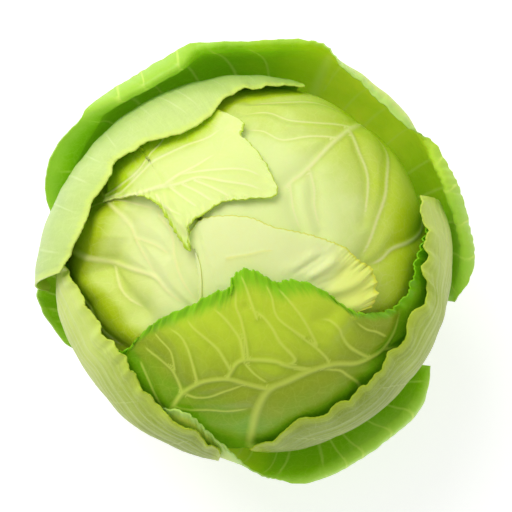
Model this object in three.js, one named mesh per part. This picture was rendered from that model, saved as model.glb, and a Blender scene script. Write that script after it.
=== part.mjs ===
// Head of green cabbage, standing on its cut stem.
// Units are millimetres, +Z is up, the origin is the centre of the cut stem face.
import * as THREE from 'three';

// ---- driving dimensions ----
const HEART_CENTRE_Z = 95;      // height of the middle of the packed heart
const HEART_RADIUS = 78;        // half width of the packed heart
const HEART_HALF_HEIGHT = 68;   // half height of the packed heart
const HEART_GAP = 0.5;          // air between the heart and the innermost leaf
const LEAF_BASE_LATITUDE = -78; // how low on the ball the leaf bases meet the stem
const LEAF_BASE_THICKNESS = 1.3;
const LEAF_EDGE_THICKNESS = 0.9;
const STEM_FOOT_RADIUS = 17.4;
const STEM_TOP_RADIUS = 12.9;
const STEM_TOP_Z = 26.3;
const STEM_CUT_CHAMFER = 0.8;

// ---- colours ----
const PALE_YELLOW_GREEN = 0xdcec9a;
const WHITE_GREEN = 0xecf3c4;
const LEAF_GREEN = 0x9ccb3c;
const DARK_GREEN = 0x4f9a1c;
const STEM_CREAM = 0xe6e4bd;

// ---- the leaves, from the innermost to the outermost ----
// base, mid: azimuth in degrees where the leaf's two side edges leave the stem and pass the belly
// layer: stand-off from the heart at the leaf base, for the left and the right side edge
// belly: extra stand-off half way up, for the left and the right side edge
// rim: [azimuth, latitude, stand-off] along the free edge, counterclockwise seen from above
const CROWN_LEFT = {
  columns: 13, rows: 12, base: [150, 240], mid: [126, 262], midLatitude: -4,
  layer: [1, 1], belly: [0, 0], bellyPower: 1,
  rim: [[128, 34, 1], [133, 48, 1], [148, 62, 1], [180, 73, 1], [235, 76, 1],
    [262, 66, 1], [263, 50, 1], [260, 34, 1]],
};
const CROWN_RIGHT = {
  columns: 17, rows: 15, base: [15, 100], mid: [-16, 122], midLatitude: -4,
  layer: [3, 3], belly: [0, 0], bellyPower: 1,
  rim: [[-17, 20, 3], [-28, 34, 3], [-40, 46, 3], [-62, 62, 3], [-110, 70, 3],
    [-150, 73, 3], [-185, 72, 3], [-212, 66, 3], [-224, 55, 3], [-236, 42, 3], [-243, 30, 3]],
};
const CROWN_CENTRE = {
  columns: 16, rows: 14, base: [262, 312], mid: [286, 338], midLatitude: -4,
  layer: [5.3, 5.3], belly: [0, 0], bellyPower: 1,
  rim: [[284, 30, 5.3], [278, 48, 5.3], [262, 66, 5.3], [237, 75, 5.3], [200, 71, 5.3], [189, 68, 5.3],
    [174, 67, 5.3], [157, 71, 5.3], [118, 81, 5.3], [45, 84, 5.3], [5, 73, 5.3], [356, 61, 5.3],
    [345, 50, 5.6], [340, 42, 5.6], [339, 26, 5.3]],
};
const CROWN_TORN = {
  columns: 14, rows: 12, base: [122, 164], mid: [112, 168], midLatitude: -6,
  layer: [7.2, 7.2], belly: [0, 0], bellyPower: 1,
  rim: [[117, 32, 7.2], [104, 40, 7.2], [97, 49, 7.2], [100, 56, 7.2], [91, 62, 7.2], [88, 66, 7.2],
    [72, 69, 7.2], [66, 74, 7.2], [103, 77, 7.2], [131, 74, 7.2], [152, 71, 7.2], [166, 68, 7.2],
    [172, 62, 7.2], [171, 53, 7.2], [169, 42, 7.2], [167, 22, 7.2]],
};
const FRONT_LEAF = {
  columns: 25, rows: 13, base: [228, 312], mid: [200, 374], midLatitude: -8,
  layer: [9, 9], belly: [0, 0], bellyPower: 1,
  rim: [[198, 12, 9], [204, 19, 9], [212, 23, 9], [219, 33, 9], [218, 41, 9], [220, 51, 9],
    [226, 60, 9], [232, 67, 9], [243, 72, 9], [240, 75, 9], [250, 79, 9], [276, 78, 9],
    [293, 74, 9], [306, 73, 9], [318, 68, 9], [322, 61, 9], [323, 52, 9], [329, 43, 9],
    [338, 33, 9], [348, 30, 9], [356, 29, 9], [363, 25, 9], [370, 19, 9], [376, 13, 9]],
};
const WRAPPER_RIGHT = {
  columns: 18, rows: 12, base: [290, 370], mid: [282, 392], midLatitude: -22,
  layer: [11.5, 11.5], belly: [0, 1], bellyPower: 1,
  rim: [[273, 13, 12], [278, 21, 13.5], [285, 25, 15], [295, 26, 15], [304, 27, 15],
    [312, 28, 15], [320, 29, 15], [328, 30, 15], [336, 30, 15], [344, 28, 15], [350, 30, 15],
    [358, 30, 15], [366, 30, 15], [372, 31, 15], [378, 30, 15], [385, 28, 14.5], [391, 22, 14]],
};
const OUTER_BOTTOM = {
  columns: 18, rows: 12, base: [262, 306], mid: [250, 326], midLatitude: -38,
  layer: [13.9, 13.9], belly: [-0.6, 0], bellyPower: 1,
  rim: [[239, 20, 12.4], [245, 21, 12.2], [251, 19, 12], [257, 15, 12], [263, 10, 12],
    [268, 6, 14], [272, 0, 20], [275, -6, 26], [280, -10, 30], [286, -13, 32], [293, -15, 32],
    [300, -15, 31], [308, -16, 31], [315, -15, 31], [320, -13, 29], [325, -12, 25],
    [330, -10, 20]],
};
const WRAPPER_LOWER_LEFT = {
  columns: 15, rows: 12, base: [190, 250], mid: [178, 258], midLatitude: -22,
  layer: [15, 16.2], belly: [0, 0], bellyPower: 1,
  rim: [[176, 14, 16], [183, 20, 17], [190, 25, 17.5], [197, 29, 18], [204, 31, 18],
    [210, 31, 18], [217, 34, 18], [223, 32, 18], [230, 29, 18], [237, 26, 18], [244, 24, 18],
    [250, 23, 18], [255, 19, 18], [260, 13, 18]],
};
const WRAPPER_UPPER_LEFT = {
  columns: 18, rows: 12, base: [96, 182], mid: [80, 186], midLatitude: -22,
  layer: [12, 19], belly: [-1, 6], bellyPower: 1,
  rim: [[74, 18, 9], [80, 23, 9.2], [87, 26, 9.4], [93, 30, 9.6], [99, 35, 10], [105, 39, 10],
    [113, 45, 11], [122, 46, 12], [132, 42, 13], [139, 37, 13.4], [146, 34, 14.6],
    [152, 36, 15.4], [159, 35, 16.6], [167, 33, 18], [175, 33, 19.6], [182, 29, 21],
    [187, 24, 22.5]],
};
const OUTER_LEFT = {
  columns: 10, rows: 10, base: [180, 214], mid: [173, 220], midLatitude: -48,
  layer: [21.4, 21.4], belly: [2, 0], bellyPower: 1,
  rim: [[173, -7, 26], [178, -6, 30], [184, -7, 31], [189, -10, 31], [195, -15, 31],
    [201, -21, 31], [207, -29, 30], [213, -38, 27]],
};
const OUTER_TOP = {
  columns: 26, rows: 12, base: [22, 146], mid: [-8, 165], midLatitude: -24,
  layer: [24, 24], belly: [0, 4], bellyPower: 2,
  rim: [[-11, -8, 20], [-5, -3, 24], [1, 1, 25], [6, 6, 24], [11, 12, 22], [17, 18, 20],
    [24, 22, 19], [32, 25, 20], [40, 26, 22], [50, 26, 24], [60, 25, 25], [70, 25, 26],
    [80, 23, 27], [90, 22, 27], [100, 22, 27], [108, 25, 24], [116, 27, 20], [124, 28, 18.6],
    [132, 28, 18.4], [139, 27, 19.4], [143, 20, 25], [147, 10, 30], [152, 4, 31],
    [158, 1, 30], [163, -3, 28], [168, -8, 24]],
};

const RAD = Math.PI / 180;

// Unit vector from the middle of the heart towards an azimuth and a latitude.
function direction(azimuth, latitude) {
  const flat = Math.cos(latitude * RAD);
  const x = flat * Math.cos(azimuth * RAD);
  const y = flat * Math.sin(azimuth * RAD);
  return new THREE.Vector3(x, y, Math.sin(latitude * RAD));
}

// Turns from one unit vector to another along the great circle.
function slerp(from, to, t) {
  const angle = Math.acos(THREE.MathUtils.clamp(from.dot(to), -1, 1));
  if (angle < 1e-6) {
    return from.clone();
  }
  const keep = Math.sin((1 - t) * angle) / Math.sin(angle);
  const take = Math.sin(t * angle) / Math.sin(angle);
  return from.clone().multiplyScalar(keep).addScaledVector(to, take).normalize();
}

// Distance from the middle of the heart to its skin in a given direction.
function heartRadius(dir) {
  const flat = (dir.x * dir.x + dir.y * dir.y) / (HEART_RADIUS * HEART_RADIUS);
  const tall = (dir.z * dir.z) / (HEART_HALF_HEIGHT * HEART_HALF_HEIGHT);
  return 1 / Math.sqrt(flat + tall);
}

function catmullRom(a, b, c, d, t) {
  const linear = 0.5 * (c - a);
  const square = a - 2.5 * b + 2 * c - 0.5 * d;
  const cube = 0.5 * (d - a) + 1.5 * (b - c);
  return b + linear * t + square * t * t + cube * t * t * t;
}

// Smooth reading of the rim list at u = -1 ... 1: direction and stand-off.
function rimAt(rim, u) {
  const last = rim.length - 1;
  const place = (u + 1) / 2 * last;
  const start = Math.min(Math.floor(place), last - 1);
  const at = (index) => rim[THREE.MathUtils.clamp(index, 0, last)];
  const knots = [at(start - 1), at(start), at(start + 1), at(start + 2)];
  const dirs = knots.map((knot) => direction(knot[0], knot[1]));
  const t = place - start;
  const blend = (pick) => catmullRom(pick(0), pick(1), pick(2), pick(3), t);
  const dir = new THREE.Vector3(
    blend((index) => dirs[index].x),
    blend((index) => dirs[index].y),
    blend((index) => dirs[index].z),
  ).normalize();
  return { dir, standOff: blend((index) => knots[index][2]) };
}

// Point of a leaf: u runs across, v from the stem to the rim, skin 0 inside, 1 outside.
function leafPoint(leaf, u, v, skin) {
  const across = (u + 1) / 2;
  const mix = (pair) => pair[0] + (pair[1] - pair[0]) * across;
  const base = direction(mix(leaf.base), LEAF_BASE_LATITUDE);
  const mid = direction(mix(leaf.mid), leaf.midLatitude);
  const rim = rimAt(leaf.rim, u);
  const dir = slerp(slerp(base, mid, v), slerp(mid, rim.dir, v), v);
  const layer = mix(leaf.layer);
  const belly = mix(leaf.belly) * Math.sin(Math.PI * Math.pow(v, leaf.bellyPower));
  const standOff = layer + (rim.standOff - layer) * Math.pow(v, 1.5) + belly;
  const thickness = LEAF_BASE_THICKNESS + (LEAF_EDGE_THICKNESS - LEAF_BASE_THICKNESS) * v;
  const point = dir.multiplyScalar(heartRadius(dir) + standOff + skin * thickness);
  point.z += HEART_CENTRE_Z;
  return point;
}

// A leaf is a flat slab bent onto its place around the head.
function makeLeaf(leaf) {
  const geometry = new THREE.BoxGeometry(2, 1, 1, leaf.columns, leaf.rows, 1);
  const position = geometry.attributes.position;
  for (let index = 0; index < position.count; index += 1) {
    const u = position.getX(index);
    const v = position.getY(index) + 0.5;
    const skin = position.getZ(index) + 0.5;
    const point = leafPoint(leaf, u, v, skin);
    position.setXYZ(index, point.x, point.y, point.z);
  }
  geometry.computeVertexNormals();
  return geometry;
}

// The hearting leaves are pressed so tight that they make one solid ball.
function makeHeart() {
  const geometry = new THREE.SphereGeometry(1, 32, 20);
  geometry.rotateX(Math.PI / 2);
  const halfWidth = HEART_RADIUS - HEART_GAP;
  geometry.scale(halfWidth, halfWidth, HEART_HALF_HEIGHT - HEART_GAP);
  geometry.translate(0, 0, HEART_CENTRE_Z);
  return geometry;
}

// The stem is cut flat below the lowest leaves; the head stands on this face.
function makeStem() {
  const profile = [
    new THREE.Vector2(0, 0),
    new THREE.Vector2(STEM_FOOT_RADIUS - STEM_CUT_CHAMFER, 0),
    new THREE.Vector2(STEM_FOOT_RADIUS, STEM_CUT_CHAMFER),
    new THREE.Vector2(STEM_FOOT_RADIUS - 0.2, 5),
    new THREE.Vector2(STEM_TOP_RADIUS + 0.5, STEM_TOP_Z - 1.5),
    new THREE.Vector2(STEM_TOP_RADIUS - 0.7, STEM_TOP_Z),
    new THREE.Vector2(0, STEM_TOP_Z),
  ];
  const geometry = new THREE.LatheGeometry(profile, 36);
  geometry.rotateX(Math.PI / 2);
  return geometry;
}

function addPiece(group, name, geometry, color, roughness) {
  const material = new THREE.MeshStandardMaterial({ color, roughness, metalness: 0 });
  const mesh = new THREE.Mesh(geometry, material);
  mesh.name = name;
  group.add(mesh);
}

function makeCabbage() {
  const group = new THREE.Group();
  group.name = 'cabbage_head';
  addPiece(group, 'stem_stump', makeStem(), STEM_CREAM, 0.8);
  addPiece(group, 'packed_heart', makeHeart(), WHITE_GREEN, 0.55);
  addPiece(group, 'crown_leaf_left', makeLeaf(CROWN_LEFT), PALE_YELLOW_GREEN, 0.5);
  addPiece(group, 'crown_leaf_right', makeLeaf(CROWN_RIGHT), PALE_YELLOW_GREEN, 0.5);
  addPiece(group, 'crown_leaf_centre', makeLeaf(CROWN_CENTRE), WHITE_GREEN, 0.5);
  addPiece(group, 'crown_leaf_torn', makeLeaf(CROWN_TORN), PALE_YELLOW_GREEN, 0.5);
  addPiece(group, 'front_leaf', makeLeaf(FRONT_LEAF), LEAF_GREEN, 0.5);
  addPiece(group, 'wrapper_leaf_right', makeLeaf(WRAPPER_RIGHT), PALE_YELLOW_GREEN, 0.6);
  addPiece(group, 'outer_leaf_bottom', makeLeaf(OUTER_BOTTOM), DARK_GREEN, 0.55);
  addPiece(group, 'wrapper_leaf_lower_left', makeLeaf(WRAPPER_LOWER_LEFT), PALE_YELLOW_GREEN, 0.6);
  addPiece(group, 'wrapper_leaf_upper_left', makeLeaf(WRAPPER_UPPER_LEFT), PALE_YELLOW_GREEN, 0.6);
  addPiece(group, 'outer_leaf_left', makeLeaf(OUTER_LEFT), DARK_GREEN, 0.55);
  addPiece(group, 'outer_leaf_top', makeLeaf(OUTER_TOP), DARK_GREEN, 0.55);
  return group;
}

export default makeCabbage();
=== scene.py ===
# %% [markdown]
# # A head of green cabbage
# A cabbage head is one stem with many leaves folded over each other. The inner leaves are pressed
# into a hard pale ball, and the last few outer leaves hang loose around it. Every leaf here is made
# the same way: a flat grid is bent around the ball, gets its veins as real relief, and then gets a
# thickness. So this lesson first builds the tools for one leaf and then grows eleven of them.

# %% Start from the frame
import bpy
import bmesh
import math
import numpy as np
from mathutils import Matrix, Vector, kdtree


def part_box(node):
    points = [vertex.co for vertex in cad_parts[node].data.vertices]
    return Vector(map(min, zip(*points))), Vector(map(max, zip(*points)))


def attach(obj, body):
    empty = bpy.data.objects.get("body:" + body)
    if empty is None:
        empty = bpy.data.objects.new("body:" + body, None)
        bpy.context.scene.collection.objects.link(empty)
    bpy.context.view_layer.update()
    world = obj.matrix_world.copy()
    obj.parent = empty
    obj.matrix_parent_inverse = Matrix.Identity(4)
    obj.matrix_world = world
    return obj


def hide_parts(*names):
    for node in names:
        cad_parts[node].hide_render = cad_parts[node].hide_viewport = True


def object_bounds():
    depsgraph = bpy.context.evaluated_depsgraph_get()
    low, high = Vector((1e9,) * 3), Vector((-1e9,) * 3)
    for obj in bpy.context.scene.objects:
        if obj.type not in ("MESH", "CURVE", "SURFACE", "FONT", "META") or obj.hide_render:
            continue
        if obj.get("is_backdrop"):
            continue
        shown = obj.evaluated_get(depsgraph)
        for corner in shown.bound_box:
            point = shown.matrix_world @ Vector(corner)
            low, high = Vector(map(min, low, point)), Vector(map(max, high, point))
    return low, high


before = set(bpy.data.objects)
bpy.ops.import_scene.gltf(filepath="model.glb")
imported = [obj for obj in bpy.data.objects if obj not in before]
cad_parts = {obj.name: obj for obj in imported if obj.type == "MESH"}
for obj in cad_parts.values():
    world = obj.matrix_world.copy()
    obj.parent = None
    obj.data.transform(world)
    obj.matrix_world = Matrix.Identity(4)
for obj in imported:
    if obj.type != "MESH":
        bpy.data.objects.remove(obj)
cad_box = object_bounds()
MM = 0.001
print("frame nodes:", len(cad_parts))

# %% [markdown]
# ## The ball that everything wraps
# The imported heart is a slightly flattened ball. All leaf shapes are given as seen from its middle:
# an azimuth, a latitude and a stand-off from its skin in millimetres. That is how a grower would
# describe a leaf too: where it sits around the head, how high it reaches and how loose it is.

# %% Heart measures, read from the frame
heart_low, heart_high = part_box("packed_heart")
HEART_GAP = 0.5
HEART_Z = (heart_low.z + heart_high.z) / 2 / MM
HEART_RADIUS = (heart_high.x - heart_low.x) / 2 / MM + HEART_GAP
HEART_HALF_HEIGHT = (heart_high.z - heart_low.z) / 2 / MM + HEART_GAP
MEAN_RADIUS = 88  # mm, turns distances between unit vectors into lengths on the outer leaves
MM_PER_DEGREE = 1.47  # along a meridian
BASE_LATITUDE = -78  # where every leaf leaves the stem
SHADE_SIDE = np.array([0.5, -0.86, 0])  # roughly away from the lamp
print("heart centre %.1f mm up, %.1f wide, %.1f tall" % (HEART_Z, 2 * HEART_RADIUS,
                                                         2 * HEART_HALF_HEIGHT))


def direction(azimuth, latitude):
    """Unit vectors from the middle of the heart."""
    az, lat = np.radians(azimuth), np.radians(latitude)
    return np.stack([np.cos(lat) * np.cos(az), np.cos(lat) * np.sin(az), np.sin(lat) + 0 * az], -1)


def heart_radius(d):
    """Distance from the middle of the heart to its skin along the unit vectors d."""
    flat = (d[..., 0] ** 2 + d[..., 1] ** 2) / HEART_RADIUS ** 2
    return 1 / np.sqrt(flat + d[..., 2] ** 2 / HEART_HALF_HEIGHT ** 2)


def slerp(a, b, t):
    """Turns unit vectors a to b along the great circle."""
    angle = np.arccos(np.clip((a * b).sum(-1, keepdims=True), -1, 1))
    angle = np.maximum(angle, 1e-6)
    t = np.asarray(t)[..., None]
    return (np.sin((1 - t) * angle) * a + np.sin(t * angle) * b) / np.sin(angle)


def spline(knots, t):
    """Catmull-Rom curve through the rows of knots, read at t = 0 ... 1."""
    knots = np.asarray(knots, float)
    last = len(knots) - 1
    place = np.clip(np.asarray(t, float), 0, 1) * last
    start = np.minimum(place.astype(int), last - 1)
    f = (place - start)[..., None]
    a, b, c, d = (knots[np.clip(start + k, 0, last)] for k in (-1, 0, 1, 2))
    square, cube = a - 2.5 * b + 2 * c - 0.5 * d, 0.5 * (d - a) + 1.5 * (b - c)
    return b + 0.5 * (c - a) * f + square * f ** 2 + cube * f ** 3


def smooth(low, high, x):
    """Soft step from 0 at low to 1 at high."""
    t = np.clip((x - low) / (high - low), 0, 1)
    return t * t * (3 - 2 * t)


# %% [markdown]
# ## One leaf as a bent sheet
# A leaf needs two directions: `u` runs across it from one side edge to the other, and `v` runs from
# the stem to the free rim. Each `u` line leaves the stem, swings over the belly and ends on the rim,
# on a curve made of great-circle turns, so the leaf always lies on the ball. A spline through the
# rim points draws the rim. A leaf with a `spine` bends its lines along one midrib, because its rim
# doubles back and straight lines would cross more. Sculpting by hand would also work, but then no
# leaf could be changed without its neighbours cutting into it.

# %% Leaf surface
ROLL_FROM = 0.88


def spread(across, values):
    """Values given evenly from one side edge (0) to the other (1), read in between."""
    return np.interp(across, np.linspace(0, 1, len(values)), values)


def past_crest(v):
    """0 up to the crest of a rolled rim, then up to 1 at the free edge."""
    return np.clip((v - ROLL_FROM) / (1 - ROLL_FROM), 0, 1)


def leaf_directions(leaf, u, v):
    """Unit vectors of a leaf's points and the rim values (stand-off and curl) at u."""
    across = (u + 1) / 2
    rim = np.array([tuple(k) + (0,) * (4 - len(k)) for k in leaf["rim"]], float)
    knots = np.hstack([direction(rim[:, 0], rim[:, 1]), rim[:, 2:4]])
    at = spline(knots, across)
    rim_dir = at[..., :3] / np.linalg.norm(at[..., :3], axis=-1, keepdims=True)
    base = direction(spread(across, leaf["base"]), BASE_LATITUDE)
    if "spine" in leaf:  # lines leave the midrib a little below where they end, as side veins do
        spine_azimuth, drop = leaf["spine"]
        mid = direction(np.full(len(u), spine_azimuth), np.degrees(np.arcsin(rim_dir[:, 2])) - drop)
    else:
        mid = direction(spread(across, leaf["mid"]), spread(across, leaf["mid_lat"]))
    d = slerp(slerp(base, mid, v), slerp(mid, rim_dir, v), v)
    if "lift" in leaf:
        crest = smooth(0.4, ROLL_FROM, v) * (1 - past_crest(v) ** 2)
        latitude = np.arcsin(np.clip(d[..., 2], -1, 1)) + np.radians(spread(across, leaf["lift"])) * crest
        flat = np.cos(latitude) / np.hypot(d[..., 0], d[..., 1])
        d = np.stack([d[..., 0] * flat, d[..., 1] * flat, np.sin(latitude)], -1)
    return d, at[..., 3], at[..., 4]


def stand_off(leaf, u, v, rim_off, curl):
    """How far the sheet stands off the heart, in mm."""
    across = (u + 1) / 2
    layer = spread(across, leaf["layer"])
    belly = spread(across, leaf["belly"]) * np.sin(math.pi * v)
    t = np.clip((v - leaf["curl_from"]) / (1 - leaf["curl_from"]), 0, 1)
    roll = curl * (1 - np.sqrt(1 - 0.97 * t * t))  # nearly a quarter circle
    flare = spread(across, leaf["flare"])
    reach = layer + (rim_off - flare - layer) * v ** leaf["opening"]
    return reach + flare * past_crest(v) ** 1.2 + belly - roll


# %% [markdown]
# ## Veins
# A cabbage leaf has a thick midrib and side veins that leave it at an angle and bend towards the
# rim. The veins are lines on the ball; each point of the sheet finds its nearest line. That gives
# a soft mask for colour, a ridge for the relief and a soft shade on the side away from the lamp, and
# the panels between the veins puff up a little. Each vein dies away over its last third. On the top
# of the head the lines are listed one by one, and elsewhere a comb of them is grown by rule.

# %% Vein lines
FAR = 60.0  # mm, where no vein is near


def listed_vein(points, start_width, end_width):
    """A vein through [azimuth, latitude] points, widths in mm."""
    points = np.array(points, float)
    t = np.linspace(0, 1, 8 * len(points))
    line = spline(direction(points[:, 0], points[:, 1]), t)
    line /= np.linalg.norm(line, axis=-1, keepdims=True)
    return line, start_width + (end_width - start_width) * t


def comb_of_veins(leaf):
    """Midrib and the side veins that run straight out to the rim, as far out on a wide leaf."""
    g = np.random.default_rng(leaf["seed"])
    t = np.linspace(0, 1, 30)
    lines = [(leaf_directions(leaf, leaf["midrib"] + 0 * t, t)[0], leaf["rib_width"] * (1 - 0.7 * t))]
    for k in range(leaf["comb"]):
        centre = -1 + 2 * (k + 0.5 + g.uniform(-0.3, 0.3)) / leaf["comb"]
        bend = leaf["comb_bend"] * np.sign(centre - leaf["midrib"])
        v = 0.35 + 0.66 * t
        u = np.clip(centre + bend * t ** 2 + 0.006 * np.sin(5 * t + k), -1, 1)
        width = leaf["lateral_width"] * g.uniform(0.7, 1.2) * (1 - 0.55 * t)
        lines.append((leaf_directions(leaf, u, np.clip(v, 0, 1))[0], width))
    return lines


def nearest_vein(d, lines, fade_in=0.0):
    """Vein strength, signed mm to the vein and its width, shade beside it and plain mm to the nearest."""
    strength, shade, score = np.zeros(len(d)), np.zeros(len(d)), np.full(len(d), -1.0)
    side, distance = np.full(len(d), FAR), np.full(len(d), FAR)
    side_width = np.ones(len(d))
    for line, width in lines:
        a, b = line[:-1], line[1:]
        ab = b - a
        best = np.full(len(d), 1e9)
        place, sign, lean = np.zeros(len(d)), np.ones(len(d)), np.zeros(len(d))
        for k in range(len(a)):
            t = np.clip(((d - a[k]) @ ab[k]) / max(ab[k] @ ab[k], 1e-12), 0, 1)
            away = d - a[k] - t[:, None] * ab[k]
            dist = np.linalg.norm(away, axis=-1)
            closer = dist < best
            best[closer] = dist[closer]
            place[closer] = (k + t)[closer]
            sign[closer] = np.sign(d @ np.cross(a[k], b[k]))[closer]
            lean[closer] = ((away @ SHADE_SIDE) / np.maximum(dist, 1e-9))[closer]
        best *= MEAN_RADIUS
        here = np.interp(place, np.arange(len(width)), width)
        breadth = np.maximum(0.6 * here, 1.15)
        weight = np.clip(here / 2.2, 0.35, 1) * smooth(1, 0.7, place / len(a))
        if fade_in:
            weight *= smooth(0, fade_in, place / len(a))
        strength = np.maximum(strength, np.exp(-(best / breadth) ** 2) * weight)
        beside = np.exp(-best / 3.0) * smooth(0.1, 1.2, best) * np.clip(1.5 * lean, 0, 1)
        shade = np.maximum(shade, beside * np.clip(1.6 * weight, 0, 1))
        near = here / (1 + (best / breadth) ** 2)
        closer = near > score
        score[closer] = near[closer]
        side[closer] = (best * sign)[closer]
        side_width[closer] = here[closer]
        distance = np.minimum(distance, best)
    return strength, side, side_width, shade, distance


# %% [markdown]
# ## From sheet to leaf
# The sheet starts as a flat grid from `bmesh`, whose points are then moved onto the ball. Rows are
# packed closer towards the rim, where the leaf is crimped and seen at its closest. Three things
# shape it further: a lazy wave over the whole blade, puffed panels between the veins, and crimps
# that grow towards the rim because a cabbage rim is longer than the ball it has to follow. The
# Solidify modifier then gives the wall, thin at the rim and thick at the ribs, with a second
# material on the inner face.

# %% Sheet builder
TURN = 6.283
RIM_SAMPLES = 400
FARTHEST_IN = 400  # mm
FULL_WALL = 2.0  # mm, thickness at weight 1
WALL_STEPS = 40


def crimp(s, wavelength, seed):
    """Uneven waves along a rim; s in mm."""
    g = np.random.default_rng(seed)
    phase = g.uniform(0, 6.28, 4)
    wander = 2.0 * np.sin(s / wavelength * 1.3 + phase[0])
    wander += 1.8 * np.sin(s / wavelength * 0.47 + phase[1])
    wave = np.sin(TURN * s / wavelength + wander)
    small = np.sin(TURN * s / wavelength * 2.3 + 2 * wander + phase[2])
    return wave + 0.35 * small


def to_object(name, bm):
    mesh = bpy.data.meshes.new(name)
    bm.to_mesh(mesh)
    bm.free()
    obj = bpy.data.objects.new(name, mesh)
    bpy.context.scene.collection.objects.link(obj)
    mesh.polygons.foreach_set("use_smooth", np.ones(len(mesh.polygons), bool))
    return obj


def coordinates(mesh):
    co = np.empty(3 * len(mesh.vertices))
    mesh.vertices.foreach_get("co", co)
    return co.reshape(-1, 3)


def add_attribute(mesh, name, values):
    mesh.attributes.new(name, "FLOAT", "POINT").data.foreach_set("value", np.asarray(values, np.float32))


def spread_azimuth(azimuth, points):
    """Values given as (azimuth, value) points, read at the azimuths."""
    places, values = zip(*points)
    return np.interp(azimuth, places, values)


def cover_latitude(azimuth):
    """How high up the head the wrapping leaves reach at each azimuth."""
    reach = np.full(np.shape(azimuth), 10.0)
    for wrapper in WRAPPERS:
        rim = np.array([k[:2] for k in wrapper["rim"]], float)
        for turn in (0, 360):
            reach = np.maximum(reach, np.interp(azimuth + turn, rim[:, 0], rim[:, 1], -90, -90))
    return reach


LAID = []  # directions and stand-offs of the sheets made so far
CLEARANCE = 1.25  # mm between a draped sheet and the one below it
NEIGHBOURS = 5
NEIGHBOUR_REACH = 0.022  # on the unit ball


def drape(d, off, width):
    """Lifts a sheet where it would touch the leaves laid before it, then evens out the lift."""
    below = np.concatenate([laid[0] for laid in LAID])
    height = np.concatenate([laid[1] for laid in LAID])
    seen = below[:, 2] > 0.1
    below, height = below[seen], height[seen]
    tree = kdtree.KDTree(len(below))
    for k, point in enumerate(below):
        tree.insert(point, k)
    tree.balance()
    lift = np.zeros(len(d))
    for k in np.nonzero(d[:, 2] > 0.15)[0]:
        for _, found, distance in tree.find_n(d[k], NEIGHBOURS):
            if distance < NEIGHBOUR_REACH:
                lift[k] = max(lift[k], height[found] + CLEARANCE - off[k])
    lift = lift.reshape(-1, width)
    for _ in range(2):
        padded = np.pad(lift, 1, mode="edge")
        lift = np.maximum.reduce([padded[1:-1, 1:-1], padded[:-2, 1:-1], padded[2:, 1:-1],
                                  padded[1:-1, :-2], padded[1:-1, 2:]])
    for _ in range(6):
        padded = np.pad(lift, 1, mode="edge")
        lift = (padded[1:-1, 1:-1] * 2 + padded[:-2, 1:-1] + padded[2:, 1:-1] + padded[1:-1, :-2]
                + padded[1:-1, 2:]) / 6
    return off + lift.ravel()


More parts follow.
